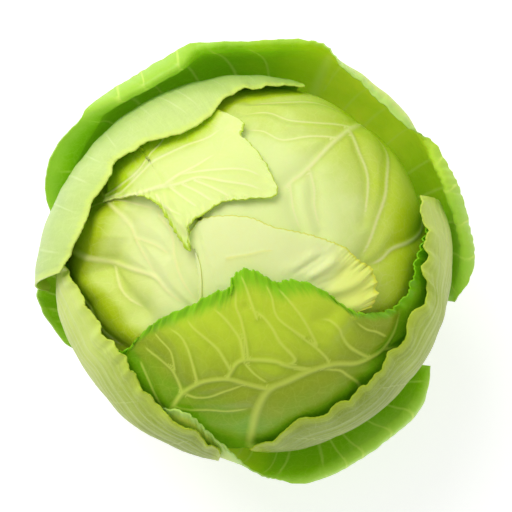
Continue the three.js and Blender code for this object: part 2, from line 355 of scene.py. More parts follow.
def make_leaf(name, leaf, veins):
    bm = bmesh.new()
    columns, rows = leaf["grid"]
    bm.loops.layers.uv.new("leaf")
    bmesh.ops.create_grid(bm, x_segments=columns, y_segments=rows, size=1, calc_uvs=True)
    obj = to_object(name, bm)
    mesh = obj.data
    flat = coordinates(mesh)
    u = flat[:, 0]
    v = np.interp((flat[:, 1] + 1) / 2, (0, 0.16, 0.88, 1), (0, leaf["hidden"], 0.93, 1))

    # length along the rim and distance from it, both in mm
    ru = np.linspace(-1, 1, RIM_SAMPLES)
    rim_line = leaf_directions(leaf, ru, np.ones(RIM_SAMPLES))[0] * MEAN_RADIUS
    along = np.concatenate([[0], np.cumsum(np.linalg.norm(np.diff(rim_line, axis=0), axis=1))])
    s = np.interp(u, ru, along)
    rim_here = leaf_directions(leaf, u, np.ones(len(u)))[0]
    near = leaf_directions(leaf, u, np.full(len(u), 0.8))[0]
    span = np.linalg.norm(rim_here - near, axis=1) * MEAN_RADIUS / 0.2
    to_rim = np.minimum((1 - v) * span, FARTHEST_IN)
    side = np.minimum(1 - u, 1 + u) * along[-1] / 2 * np.clip(0.25 + v, 0, 1)
    edge = np.minimum(to_rim, side)

    # the rim is nibbled and jagged in its own plane
    jag = leaf["jag"] * crimp(s, leaf["jag_length"], 11 + len(name))
    jag += leaf["nibble"] * crimp(s, 2.6, 5)
    reach = v + jag / span * smooth(16, 0, to_rim) * v
    d, rim_off, curl = leaf_directions(leaf, u, np.clip(reach, 0, 1.08))
    off = stand_off(leaf, u, v, rim_off, curl)

    strength, vein_side, vein_width, shade, nearest = nearest_vein(d, veins)
    panels = leaf["puff"] * (1 - np.exp(-(nearest / 5.0) ** 1.5))
    ridges = leaf["ridge"] * strength
    wave_seed = leaf["seed"]
    lazy = leaf["lazy"] * (np.sin(d[:, 0] * 9 + wave_seed) * np.sin(d[:, 1] * 8 + 2 * wave_seed)
                                    * np.cos(d[:, 2] * 7 - wave_seed))
    depth = leaf["crimp_depth"]
    growth = smooth(depth, 0, to_rim) ** 1.3
    amount = spread((u + 1) / 2, leaf["crimp"])
    crimps = amount * growth * crimp(s, leaf["crimp_length"], 3 + wave_seed)
    fine = leaf["pucker"] * np.clip(3 * amount, 0, 1) * smooth(depth * 0.9, 0, to_rim)
    fine = fine * crimp(s, 4.3, 17)
    ribbing = leaf["ribbing"] * crimp(to_rim + 3 * np.sin(s / 23), 5.5, 31) * smooth(4, 14, to_rim)
    folds = np.zeros(len(u))
    for fold_line, fold_width, fold_height in leaf["folds"]:
        line = listed_vein(fold_line, fold_width, fold_width)
        folds += fold_height * nearest_vein(d, [line], fade_in=0.35)[0]
    latitude = np.degrees(np.arcsin(np.clip(d[:, 2], -1, 1)))
    azimuth = np.degrees(np.arctan2(d[:, 1], d[:, 0])) % 360
    above_cover = (latitude - cover_latitude(azimuth)) * MM_PER_DEGREE
    off = off + panels + ridges + lazy * smooth(0, 0.3, v) + crimps + fine + folds + ribbing
    if "shoulder" in leaf:
        near_cover = smooth(13, -3, above_cover) * smooth(-40, -5, latitude)
        off += spread_azimuth(azimuth, leaf["shoulder"]) * near_cover
    if leaf["drapes"]:
        off = drape(d, off, columns + 1)
    LAID.append((d, off))
    co = d * (heart_radius(d) + off)[:, None]
    co[:, 2] += HEART_Z
    mesh.vertices.foreach_set("co", (co * MM).ravel())

    add_attribute(mesh, "vein", strength)
    add_attribute(mesh, "shade", shade)
    add_attribute(mesh, "vein_side", np.clip(vein_side, -6, 6))
    add_attribute(mesh, "vein_width", vein_width)
    add_attribute(mesh, "edge", np.clip(edge / spread((u + 1) / 2, leaf["fringe"]), 0, 4))
    add_attribute(mesh, "along", v)
    add_attribute(mesh, "tone", tone_and_painted_shade(leaf, latitude, above_cover, u))

    wall = obj.vertex_groups.new(name="wall")
    thin, thick = leaf["wall"]
    weight = np.clip((thin + (thick - thin) * (1 - v) ** 1.5 + 0.4 * strength) / FULL_WALL, 0.05, 1)
    levels = np.round(weight * WALL_STEPS).astype(int)
    for level in np.unique(levels):
        wall.add(np.nonzero(levels == level)[0].tolist(), level / WALL_STEPS, "REPLACE")
    mod = obj.modifiers.new("wall", "SOLIDIFY")
    mod.thickness = FULL_WALL * MM
    mod.offset = -1
    mod.vertex_group = "wall"
    mod.thickness_vertex_group = 0.1
    mod.material_offset = 1
    mod.material_offset_rim = 0
    print("%-26s %6d points" % (name, len(mesh.vertices)))
    return obj


def tone_and_painted_shade(leaf, latitude, above_cover, u):
    """0 where the leaf is palest, 1 where greenest: its own colour, plus painted shade low on the head,
    on sides turned from the lamp and under a wrapper rim.
    """
    low, high = leaf["tone_latitude"]
    tone = leaf["tone_height"] * smooth(0, 1, np.clip((latitude - low) / (high - low), 0, 1))
    tone = tone * spread((u + 1) / 2, leaf["tone_across"])
    # painted shade close under a wrapper rim, where the leaf lies in its shadow
    near = leaf["painted_shade_near"]
    return np.maximum(tone, smooth(near, -1, above_cover) if near else 0)


# %% [markdown]
# ## Where each leaf sits
# The leaves are listed from the innermost to the outermost. `rim` holds the free edge as azimuth,
# latitude, stand-off and, for a rolled rim, how far it curls back in. A leaf's `layer` is more than
# that of the leaves it lies on, and one that `drapes` is lifted clear of them wherever it is seen.

# %% What a leaf has unless it says otherwise
# Lengths in mm; a list is spread evenly from one side edge to the other.
PLAIN_LEAF = dict(
    belly=(0, 0), flare=[0], opening=1.5, drapes=False, curl_from=0.86, hidden=0.4, wall=(0.55, 1.3),
    lateral_width=1.6, comb_bend=0.03, puff=0.5, lazy=0.5, folds=(), ribbing=0, jag=0.6, jag_length=7,
    nibble=0.0, crimp_length=11, crimp_depth=10, pucker=0.0, fringe=[3], tone_across=[1])
print("leaf settings:", len(PLAIN_LEAF))

# %% Crown leaves, tight on the ball
CROWN_LEFT = dict(
    grid=(190, 170), base=(150, 240), mid=(126, 262), mid_lat=[-4], layer=(1, 1), seed=2,
    rim=[(128, 34, 1), (133, 48, 1), (148, 62, 1), (180, 73, 1), (235, 76, 1), (262, 66, 1), (263, 50, 1),
         (260, 34, 1)],
    puff=1.9, ridge=1.0, crimp=[0.1], tone_latitude=(54, 22), tone_height=0.7, painted_shade_near=10,
    shoulder=[(0, 0), (150, 0), (160, 5), (170, 9), (191, 9), (198, 6), (235, 4), (250, 0), (360, 0)],
    veins=[
        ([(177, 10), (184, 29), (191, 41), (198, 49), (209, 52), (225, 55)], 2.6, 1.2),
        ([(158, 20), (164, 34), (170, 40), (176, 43), (183, 46), (189, 48), (199, 50)], 1.7, 1.2),
        ([(164, 52), (173, 58), (189, 59), (204, 59), (216, 59), (228, 59)], 1.7, 1.0),
        ([(187, 32), (196, 34), (202, 36), (210, 40)], 1.2, 0.8),
        ([(177, -6), (185, 6), (196, 17), (206, 19), (218, 26)], 2.4, 1.6),
        ([(166, 18), (161, 34), (161, 51)], 1.2, 0.8),
        ([(176, 43), (181, 52), (188, 57)], 1.0, 0.8)])
CROWN_RIGHT = dict(
    grid=(240, 185), base=(15, 100), mid=(-16, 122), mid_lat=[-4], layer=(3, 3), seed=5, drapes=True,
    rim=[(-17, 20, 3), (-28, 34, 3), (-40, 46, 3), (-62, 62, 3), (-110, 70, 3), (-150, 73, 3),
         (-185, 72, 3),
         (-212, 66, 3), (-224, 55, 3), (-236, 42, 3), (-243, 30, 3)],
    lazy=0.6, puff=2.0, ridge=1.0, crimp=[0.1], tone_latitude=(68, 30), tone_height=1, painted_shade_near=6,
    tone_across=(1, 1, 1, 0.95, 0.7, 0.5, 0.5, 0.6, 0.8, 0.8),
    veins=[
        ([(52, -20), (52, 15), (53, 30), (54, 43), (55, 57), (60, 66), (65, 71)], 2.6, 1.1),
        ([(53, 27), (44, 34), (37, 37), (31, 40), (21, 46), (11, 50)], 2.0, 1.0),
        ([(51, 10), (44, 12), (38, 18), (30, 29), (22, 36), (12, 44), (359, 49), (349, 52)], 2.0, 1.4),
        ([(55, 57), (42, 62), (30, 66), (8, 67)], 1.2, 0.8),
        ([(36, -10), (24, 4), (14, 12), (8, 18), (3, 28), (359, 38), (353, 43), (348, 49)], 2.0, 1.4),
        ([(53, 36), (64, 44), (76, 50), (87, 47), (98, 46)], 1.2, 0.7),
        ([(53, 24), (63, 34), (75, 39), (85, 37), (96, 38)], 1.4, 0.8),
        ([(52, 8), (66, 18), (80, 28), (92, 31)], 1.4, 0.8),
        ([(60, 66), (40, 73), (10, 74)], 1.0, 0.7)])
CROWN_CENTRE = dict(
    grid=(240, 150), base=(255, 275), mid=(250, 261, 265, 267), mid_lat=(70, 61, 60, 61),
    layer=(5.2, 5.2), seed=3,
    drapes=True, hidden=0.55,
    rim=[(190, 68, 5.2), (176, 66.5, 5.2), (158, 71, 5.2), (115, 82, 5.2), (32, 83, 5.2), (6, 73, 5.4),
         (359, 65, 5.8), (355, 59, 6.4), (350, 55, 7), (347, 50, 8.6), (342, 47.5, 10), (336, 46.5, 11.4),
         (330, 46, 11.4)],
    lazy=0.35, puff=0.3, ridge=0.35, crimp=[0, 0, 0, 0, 0, 0.05, 0.2, 0.4, 0.6, 0.7, 0.5], crimp_depth=12,
    crimp_length=5, jag=0.2, jag_length=5, nibble=0.2, pucker=0.25, tone_latitude=(70, 44),
    tone_height=0.9, painted_shade_near=0,
    wall=(0.5, 0.9), fringe=(0.9, 0.9, 1.0, 1.4, 2.4, 3.0),
    folds=[([(300, 76), (330, 73), (352, 68)], 5, 1.5), ([(318, 69), (333, 66), (349, 61)], 4.5, 1.8),
        ([(320, 61), (334, 55), (346, 50)], 4.5, 1.8), ([(318, 55), (331, 49), (338, 46)], 4, 1.4),
        ([(318, 65), (334, 60), (346, 56)], 3.5, -1.2), ([(310, 73), (335, 70), (350, 65)], 3, -1.0)],
    veins=[
        ([(215, 78), (250, 84), (290, 85), (327, 82)], 1.0, 0.8)])
CROWN_TORN = dict(
    grid=(260, 160), base=(122, 164), layer=(7.2, 7.2), seed=4, drapes=True,
    spine=(126, 20),
    rim=[(117, 32, 7.2), (104, 40, 7.2), (96, 47, 7.6), (98, 52.5, 7.6), (93, 57, 7.8), (88, 61, 7.8),
         (78, 67, 7.6), (65, 74, 7.8), (103, 77, 8), (131, 74, 8), (152, 71.5, 8.2), (168, 68, 8.8),
         (182, 68, 9.2), (192, 67.5, 8.4), (178, 64, 8.4), (168, 60, 8.6), (161.5, 56, 8.4),
         (158.5, 51.5, 7.8),
         (157.5, 46, 7.2), (160, 38, 7.2), (163, 30, 7.2)],
    lazy=0.35, puff=1.0, ridge=0.8, jag=0.4, jag_length=8, nibble=0.2,
    crimp=[0, 0.2, 0.3, 0.4, 0.6, 0.9, 0.5, 0.1], crimp_length=6, crimp_depth=8, pucker=0.3,
    tone_latitude=(40, 24),
    tone_height=0.4, painted_shade_near=9, wall=(0.5, 1.0), fringe=(1.2, 1.6, 1.4, 1.0, 1.2, 3.0, 5.5, 1.0, 0.1),
    folds=[([(152, 54), (159, 59), (167, 64), (179, 68)], 4.2, 3.2)],
    veins=[
        ([(166, 5), (162, 32), (151, 51), (139, 55), (127, 57), (110, 56)], 2.2, 0.9),
        ([(158, 42), (146, 56), (133, 61), (119, 68), (98, 72), (79, 74)], 1.5, 0.8),
        ([(162, 30), (157, 37), (144, 42), (127, 47), (115, 49), (103, 46)], 1.6, 0.8),
        ([(161, 28), (150, 38), (135, 39), (128, 36)], 1.4, 0.8),
        ([(139, 55), (122, 62), (100, 66), (84, 69)], 1.1, 0.7),
        ([(148, 55), (150, 62), (152, 68)], 1.0, 0.8), ([(143, 58), (141, 65), (140, 71)], 1.0, 0.8),
        ([(136, 61), (130, 68), (122, 74)], 1.0, 0.8), ([(155, 52), (160, 58), (163, 65)], 1.0, 0.8)])

# %% The front leaf and the close wrappers
FRONT_LEAF = dict(
    grid=(290, 160), base=(228, 312), mid=(200, 374), mid_lat=[-8], layer=(9, 9), seed=6, drapes=True,
    rim=[(198, 12, 9), (204, 19, 9), (212, 23, 9), (219, 33, 9.2), (218, 41, 9.4), (220, 51, 9.6),
         (226, 60, 9.6),
         (232, 67, 9.8), (243, 72, 10), (240, 75, 10), (250, 79, 10), (276, 78, 10), (293, 74, 9.8),
         (306, 73, 9.8), (318, 68, 9.4), (322, 61, 9), (323, 52, 8.6), (329, 43, 8.6), (338, 34, 8.6),
         (347, 32, 8.4),
         (355, 32, 8.4), (362, 28, 8.4), (369, 22, 8.4), (376, 15, 8.4)],
    puff=1.8, ridge=1.0, jag=0.45, jag_length=5.5, nibble=0.35, crimp=[0.7], crimp_length=7,
    crimp_depth=11,
    # the front leaf's tone here is painted shade, deepening on its lower part, turned from the lamp
    pucker=0.4, tone_latitude=(60, 24), tone_height=0.8, painted_shade_near=9, wall=(0.5, 1.3),
    fringe=(6, 6, 8, 10, 11, 12, 13, 11, 9, 9, 8, 8, 7, 7),
    shoulder=[(0, 0), (190, 0), (205, 4.5), (245, 3), (260, 0), (360, 0)],
    veins=[
        ([(268, -30), (268, 7), (269, 24), (271, 33), (275, 39), (282, 41), (289, 42), (295, 42),
          (303, 40),
          (310, 35), (316, 32), (321, 30), (328, 30), (335, 32), (340, 34)], 3.4, 1.4),
        ([(275, 39), (267, 41), (258, 42), (250, 39), (246, 35), (243, 30), (242, 24), (240, 15)], 2.2,
         1.6),
        ([(258, 42), (259, 45), (262, 49), (270, 50), (279, 49), (283, 47), (290, 44), (295, 42)], 1.7,
         1.7),
        ([(247, 37), (242, 43), (237, 47), (231, 49), (223, 48)], 1.3, 0.8),
        ([(243, 31), (237, 36), (231, 37), (226, 37), (221, 37)], 1.4, 0.8),
        ([(237, 37), (232, 42), (225, 43), (221, 43)], 1.0, 0.8),
        ([(264, 50), (261, 56), (256, 59), (247, 62), (236, 63)], 1.4, 0.8),
        ([(258, 46), (251, 51), (243, 53), (234, 54), (228, 55)], 1.4, 0.8),
        ([(266, 50), (264, 56), (259, 63), (253, 67), (248, 73)], 1.2, 0.8),
        ([(283, 47), (288, 48), (283, 55), (280, 60), (275, 64), (269, 66), (261, 67)], 1.4, 0.8),
        ([(301, 41), (301, 44), (299, 49), (295, 54), (290, 59)], 1.3, 0.8),
        ([(315, 33), (312, 41), (312, 46), (313, 50), (312, 54), (306, 57)], 1.4, 0.8),
        ([(325, 33), (324, 37), (322, 41), (321, 47)], 1.1, 0.7),
        ([(300, 50), (300, 59), (297, 67), (291, 73)], 1.2, 0.7),
        ([(270, 64), (265, 69), (257, 74), (246, 77)], 1.2, 0.7),
        ([(305, 20), (307, 26), (305, 33), (303, 37), (296, 41)], 1.4, 1.0),
        ([(243, 31), (251, 32), (258, 37), (266, 41)], 1.1, 0.9),
        ([(242, 25), (252, 27), (259, 28), (269, 31)], 1.2, 1.0),
        ([(264, 49), (269, 45), (275, 41)], 1.0, 0.9),
        ([(296, 54), (285, 63), (284, 70), (280, 75)], 1.0, 0.7),
        ([(241, 20), (231, 29), (224, 33)], 1.2, 0.8),
        ([(321, 30), (326, 22), (330, 12)], 1.4, 1.0)])
WRAPPER_RIGHT = dict(
    grid=(260, 130), base=(290, 366), mid=(282, 374), mid_lat=[-22],
    layer=(11.3, 11.3, 12.3, 13.3, 13, 12), belly=(-0.5, 0), opening=2.6, seed=8, drapes=True,
    rim=[(268, 12, 13), (276, 21, 14.5), (283, 26, 15, 1), (293, 27, 15.6, 1.5), (302, 28, 15.6, 1.5),
         (311, 28.5, 15.6, 1.5), (320, 31, 15.6, 1.5), (328, 30, 15.6, 1.5), (336, 31, 15.6, 1.5),
         (345, 27.5, 15.6, 1),
         (351, 32, 15.6, 1.5), (357, 31, 15.6, 1.5), (361, 31, 15.6, 1), (365, 31, 15.6, 1),
         (371, 31, 15),
         (375, 31.5, 14.5), (378, 28, 14)],
    curl_from=0.9, lazy=0.9, ridge=0.35, jag=0.8, jag_length=19, nibble=0.2, crimp=[0.8], crimp_length=15,
    crimp_depth=16, midrib=0.1, comb=6, comb_bend=0.35, rib_width=1.6, lateral_width=1.2, ribbing=0.22,
    # tone_across here is painted shade, deepest on the lower side, turned from the lamp
    tone_latitude=(-90, -80), tone_height=1, tone_across=(1, 1, 0.9, 0.8, 0.6, 0.45, 0.2, 0, 0),
    painted_shade_near=0, fringe=[6])
OUTER_BOTTOM = dict(
    grid=(240, 130), base=(262, 306), mid=(250, 326), mid_lat=[-38],
    layer=(13.9, 13.9, 18.5, 19, 15, 13.9, 13.9, 13.9, 13.9),
    belly=(-0.6, 0), seed=9,
    rim=[(239, 21, 12.8), (243, 26, 15), (248, 27, 15.4), (253, 23, 15.3), (258, 17.5, 15.8),
         (264, 12, 18.5),
         (270, 3, 22.5), (275, -6, 26), (280, -10, 30), (286, -13, 32), (293, -15, 32), (300, -15, 31),
         (308, -16, 31), (315, -15, 31), (320, -13, 29), (325, -12, 25), (330, -10, 20)],
    lift=(0, 0, 0, 0, 0, 0, 0, 2, 4, 6, 7, 8, 8, 8, 8, 5, 2), flare=(0, 0, 0, 0, 0, 0, 0, 1, 2, 3, 3, 4,
                                                                     4, 4, 4, 2, 1),
    lazy=0.8, ridge=0.5, jag=0.05, jag_length=14, crimp=[0.3, 0.4, 0.4, 0.2, 0.1, 0, 0, 0, 0],
    crimp_length=6, crimp_depth=12, midrib=0.15, comb=13, comb_bend=0.1, rib_width=2.5, lateral_width=1.2,
    tone_latitude=(-60, -30),
    tone_height=1, tone_across=(0, 0, 0.3, 1, 1, 1, 1, 1), painted_shade_near=0, fringe=[5])
WRAPPER_LOWER_LEFT = dict(
    grid=(240, 130), base=(190, 250), mid=(178, 258), mid_lat=[-22], layer=(15, 16.2), seed=10,
    drapes=True,
    rim=[(176, 14, 16), (183, 20, 17), (190, 25, 18, 0.5), (197, 29, 18.6, 1), (204, 31, 18.6, 1),
         (210, 31, 18.6, 1),
         (217, 34, 18.6, 1), (223, 32, 18.6, 1), (230, 29, 18.6, 1), (237, 26, 18.6, 1),
         (244, 24, 18.6, 1),
         (250, 23, 18.6, 1), (255, 19, 18.2), (260, 13, 18)],
    curl_from=0.9, lazy=0.9, ridge=0.35, jag_length=17, nibble=0.2, crimp=[0.8], crimp_length=13,
    crimp_depth=15, midrib=-0.3, comb=5, comb_bend=0.35, rib_width=1.6, lateral_width=1.1, ribbing=0.26,
    tone_latitude=(-90, -80), tone_height=1, tone_across=(0, 0, 0, 0.3, 0.6, 0.9, 1), painted_shade_near=0,
    fringe=[6])
WRAPPER_UPPER_LEFT = dict(
    grid=(260, 130), base=(96, 182), mid=(80, 186), mid_lat=[-22], layer=(12, 19), belly=(-1, 0, 3, 9),
    seed=12, drapes=True,
    rim=[(74, 18, 9.2), (80, 23, 9.4), (87, 27, 9.6), (92, 28.5, 9.8), (98, 31, 10.2), (105, 38, 10.4),
         (112, 44, 11.4), (122, 45.5, 12.4), (132, 42, 13.4), (140, 38, 14), (147, 35, 15),
         (150, 33, 15.4),
         (154, 36.5, 16), (160, 35, 16.8), (168, 33.5, 18.2), (176, 33, 19.8), (182, 29, 21.2),
         (187, 24, 22.6)],
    lazy=0.9, puff=0.6, ridge=0.5, jag=0.5, jag_length=19, nibble=0.2, crimp=[0.35], crimp_length=16,
    crimp_depth=14, midrib=-0.1, comb=12, comb_bend=0.12, rib_width=1.8, lateral_width=1.2,
    tone_latitude=(70, -20), tone_height=1,
    painted_shade_near=0, fringe=[5])

# %% The loose outer leaves
OUTER_LEFT = dict(
    grid=(180, 110), base=(180, 214), mid=(173, 220), mid_lat=[-48], layer=(21.4, 21.4), belly=(2, 0),
    seed=13,
    rim=[(173, -16, 23), (179, -11, 25), (184, -9, 29), (189, -10, 31), (195, -15, 31), (201, -21, 31),
         (207, -29, 30),
         (213, -38, 27)],
    puff=0.6, ridge=0.4, jag=0.05, jag_length=14, crimp=[0.25], crimp_depth=22, midrib=0,
    comb=10, rib_width=3, tone_latitude=(-60, -30), tone_height=1, painted_shade_near=0, fringe=[5])
OUTER_TOP = dict(
    grid=(340, 140), base=(22, 146), mid=(-8, 165), mid_lat=[-24], seed=14, opening=3.2,
    layer=(17, 17, 17, 13, 12.5, 15, 16.5, 18.5, 20, 20.5, 21),
    rim=[(-11, -6, 19), (-5, -3, 23), (0, 0, 25), (5, 3.5, 24), (10, 7.5, 23), (15, 11, 23.5),
         (20, 14, 24),
         (27, 16.5, 24), (33, 20, 24.5), (38, 25, 26.5, 5), (44, 26, 27, 6), (51, 25.5, 27, 6),
         (58, 25, 28, 5),
         (65, 25, 29, 3), (71, 21.5, 31), (78, 20, 30), (88, 20, 28), (99, 19, 28), (107, 17.5, 29.5),
         (113, 16.5, 28),
         (120, 16, 27), (127, 14.5, 27), (134, 12, 28), (139, 10, 29), (143, 8, 29), (150, 5, 31),
         (156, 3, 31),
         (162, -2, 28), (167, -6, 24), (169, -9, 22)],
    lift=(0, 4, 7, 9, 11, 12, 12, 10, 7, 4, 2, 0, 0, 0, 3, 6, 6, 6, 8, 13, 14, 14, 13, 8, 2, 0, 0, 0, 0,
          0),
    flare=(0, 4, 5, 5, 5, 5, 4, 3, 2, 1, 0, 0, 0, 0, 1, 1.5, 2, 2, 3, 5, 6, 6, 6, 6, 7, 9, 9, 7, 4, 0),
    lazy=0.6, puff=0.6, ridge=0.6, jag=0.05, jag_length=15, curl_from=0.88,
    crimp=[0.1, 0.2, 0.3, 0.3, 0.3, 0.3, 0.3, 0.3, 0.1, 0.1, 0.1, 0.1, 0.1, 0.1, 0.1],
    crimp_length=5.5, crimp_depth=14, midrib=-0.06, comb=18, comb_bend=0.05, rib_width=7,
    lateral_width=1.5,
    tone_latitude=(-60, -30), tone_height=1, painted_shade_near=0, fringe=(9, 9, 9, 8, 6, 4, 4, 5, 8, 8, 8, 8),
    tone_across=(0.9, 0.9, 0.8, 0.5, 0.25, 0.15, 0.3, 0.8, 1, 1, 1, 1, 0.9, 0.8))
WRAPPERS = [WRAPPER_RIGHT, OUTER_BOTTOM, WRAPPER_LOWER_LEFT, WRAPPER_UPPER_LEFT]

# node: settings, skin of the outer face, skin of the inner face
LEAVES = {
    "crown_leaf_left": (CROWN_LEFT, "crown_green", "crown"),
    "crown_leaf_right": (CROWN_RIGHT, "crown", "crown"),
    "crown_leaf_centre": (CROWN_CENTRE, "centre", "centre"),
    "crown_leaf_torn": (CROWN_TORN, "torn", "torn"),
    "front_leaf": (FRONT_LEAF, "front", "front"),
    "wrapper_leaf_right": (WRAPPER_RIGHT, "wrapper", "wrapper_inner"),
    "outer_leaf_bottom": (OUTER_BOTTOM, "outer", "outer_inner"),
    "wrapper_leaf_lower_left": (WRAPPER_LOWER_LEFT, "wrapper", "wrapper_inner"),
    "wrapper_leaf_upper_left": (WRAPPER_UPPER_LEFT, "upper", "wrapper_inner"),
    "outer_leaf_left": (OUTER_LEFT, "outer", "outer_inner"),
    "outer_leaf_top": (OUTER_TOP, "outer", "outer_inner"),
}
print("leaves:", len(LEAVES))

# %% [markdown]
# ## Shader arithmetic
# Node trees are easier to read as sums than as links. This small class wraps a socket, so that
# `1 - mask * 0.3` adds the Math nodes by itself. Everything else goes through one `node` method.

# %% Socket maths
class Value:
    """A socket that can be added to, multiplied and so on."""

    def __init__(self, shader, socket):
        self.shader, self.socket = shader, socket

    def maths(self, operation, *inputs):
        return self.shader.node("ShaderNodeMath", {"operation": operation}, dict(enumerate(inputs)))

    def __add__(self, other):
        return self.maths("ADD", self, other)

    def __sub__(self, other):
        return self.maths("SUBTRACT", self, other)

    def __rsub__(self, other):
        return self.maths("SUBTRACT", other, self)

    def __mul__(self, other):
        return self.maths("MULTIPLY", self, other)

    def __truediv__(self, other):
        return self.maths("DIVIDE", self, other)

    def __pow__(self, other):
        return self.maths("POWER", self, other)

    __radd__ = __add__
    __rmul__ = __mul__

    def step(self, low, high):
        """Soft step: 0 at low, 1 at high."""
        ranges = {"From Min": low, "From Max": high, "To Min": 0.0, "To Max": 1.0}
        return self.shader.node("ShaderNodeMapRange", {"interpolation_type": "SMOOTHSTEP"},
                                {"Value": self, **ranges})


class Shader:
    """A material under construction."""

    def __init__(self, name):
        self.material = bpy.data.materials.new(name)
        self.material.use_nodes = True
        self.tree = self.material.node_tree
        self.bsdf = self.tree.nodes["Principled BSDF"]

    def node(self, kind, settings=None, inputs=None, output=0):
        made = self.tree.nodes.new(kind)
        for key, value in (settings or {}).items():
            setattr(made, key, value)
        for key, value in (inputs or {}).items():
            self.feed(self.pick(made.inputs, key), value)
        return Value(self, self.pick(made.outputs, output))

    @staticmethod
    def pick(sockets, key):
        """A socket by its place, its name or its identifier."""
        if isinstance(key, int):
            return sockets[key]
        return next(socket for socket in sockets if key in (socket.identifier, socket.name))

    def feed(self, socket, value):
        if isinstance(value, Value):
            self.tree.links.new(value.socket, socket)
        elif isinstance(value, tuple) and len(value) == 3 and socket.type == "RGBA":
            socket.default_value = (*value, 1)
        else:
            socket.default_value = value

    def attribute(self, name):
        return self.node("ShaderNodeAttribute", {"attribute_name": name}, output="Fac")

    def place(self):
        return self.node("ShaderNodeTexCoord", output="Object")

    def noise(self, scale, detail=3.0, rough=0.55, vector=None):
        inputs = {"Scale": scale, "Detail": detail, "Roughness": rough, "Vector": vector or self.place()}
        return self.node("ShaderNodeTexNoise", {}, inputs)

    def mix(self, factor, a, b):
        inputs = {"Factor_Float": factor, "A_Color": a, "B_Color": b}
        return self.node("ShaderNodeMix", {"data_type": "RGBA"}, inputs, output="Result_Color")

    def surface(self, **sockets):
        for key, value in sockets.items():
            self.feed(self.bsdf.inputs[key.replace("_", " ")], value)
        return self.material


def srgb(red, green, blue):
    """Display colour (0-255) as linear light."""
    return tuple(((c / 255 + 0.055) / 1.055) ** 2.4 if c > 10 else c / 255 / 12.92
                 for c in (red, green, blue))


# %% [markdown]
# ## Leaf skin
# Cabbage leaf is waxy: a soft sheen, a pale bloom on the outer face, and light that soaks in and
# comes out greener; a faint painted glow stands for the light that shines through the loose leaves.
# The colour runs from whitish, where the leaf never saw the sun, to full green, and the same scale
# carries painted shade: deeper green low on the head, on the sides turned from the lamp and close
# under the wrapper rims. Veins are paler, with painted shade on their side away from the lamp, and a
# net of finer veins joins them. The mask for the main veins comes from the sheet's own attribute;
# the net is a Voronoi pattern, whose cell borders branch as real veinlets do.

# %% Leaf materials
def leaf_skin(name, pale, mid, deep, vein, rim, painted_vein_shade, bloom=0.0, bloom_colour=(214, 222, 196), net=0.3,
              gloss=0.42, streak=0.12, base_white=0.5, rim_strength=0.85, vein_strength=0.6,
              painted_vein_shade_strength=0.5, grain=(90, 9, 1), glow=0.0):
    pale, mid, deep, vein, rim, painted_vein_shade = (srgb(*c) for c in (pale, mid, deep, vein, rim, painted_vein_shade))
    s = Shader(name)
    tone, veins, along = s.attribute("tone"), s.attribute("vein"), s.attribute("along")
    across = s.attribute("vein_side") / s.attribute("vein_width")
    uv = s.node("ShaderNodeUVMap", {"uv_map": "leaf"})
    fibres = s.noise(1.0, 4, 0.6, s.node("ShaderNodeMapping", {}, {"Vector": uv, "Scale": grain},
                                         "Vector"))
    cloud = s.noise(38, 3, 0.6)
    warp = s.node("ShaderNodeVectorMath", {"operation": "SCALE"},
                  {"Vector": s.node("ShaderNodeTexNoise", {}, {"Vector": s.place(), "Scale": 120.0},
                                    "Color"),
                   "Scale": 0.004}, "Vector")
    bent = s.node("ShaderNodeVectorMath", {"operation": "ADD"}, {0: s.place(), 1: warp}, "Vector")
    coarse = s.node("ShaderNodeTexVoronoi", {"feature": "DISTANCE_TO_EDGE"},
                    {"Vector": bent, "Scale": 130.0}, "Distance")
    small = s.node("ShaderNodeTexVoronoi", {"feature": "DISTANCE_TO_EDGE"},
                   {"Vector": bent, "Scale": 420.0}, "Distance")
    netting = ((1 - coarse.step(0.0, 0.05)) * 0.6 + (1 - small.step(0.0, 0.14)) * 0.4) * net

    # tone holds the leaf's own greening and painted shade; cloud and fibres add uneven colour
    green_and_painted_shade = tone + (cloud - 0.5) * 0.6 + (fibres - 0.5) * streak
    colour = s.mix(green_and_painted_shade.step(-0.05, 0.6), pale, mid)
    colour = s.mix(green_and_painted_shade.step(0.5, 1.0), colour, deep)
    colour = s.mix(netting * 0.5, colour, vein)
    inside = (s.attribute("edge") + (fibres - 0.5) * 0.8).step(0.25, 1.1)
    colour = s.mix((1 - inside) * rim_strength, colour, rim)
    # painted shade: beside each vein, on the side turned away from the lamp, the colour goes towards the
    # painted vein shade
    colour = s.mix(s.attribute("shade") * painted_vein_shade_strength, colour, painted_vein_shade)
    here = veins.step(0.02, 0.22) * vein_strength
    colour = s.mix((1 - across.maths("ABSOLUTE", across).step(0.0, 1.1)) * here, colour, vein)
    colour = s.mix((1 - along.step(0.02, 0.35)) * base_white, colour, srgb(232, 236, 200))
    if bloom:
        dusting = (1 - along.step(0.55, 1.0)) * bloom * (0.55 + cloud * 0.7)
        colour = s.mix(dusting, colour, srgb(*bloom_colour))
    height = netting * -0.3 + (fibres - 0.5) * 0.6 + (cloud - 0.5) * 0.2 + veins * 0.4
    bump = s.node("ShaderNodeBump", {}, {"Strength": 0.45, "Distance": 0.0006, "Height": height},
                  "Normal")
    roughness = gloss + (cloud - 0.5) * 0.16 + veins * 0.08
    return s.surface(Base_Color=colour, Roughness=roughness, Normal=bump, Subsurface_Weight=0.25,
                     Emission_Color=colour, Emission_Strength=glow, IOR=1.4, Specular_IOR_Level=0.35,
                     Subsurface_Radius=(0.6, 1.0, 0.15), Subsurface_Scale=0.0022)
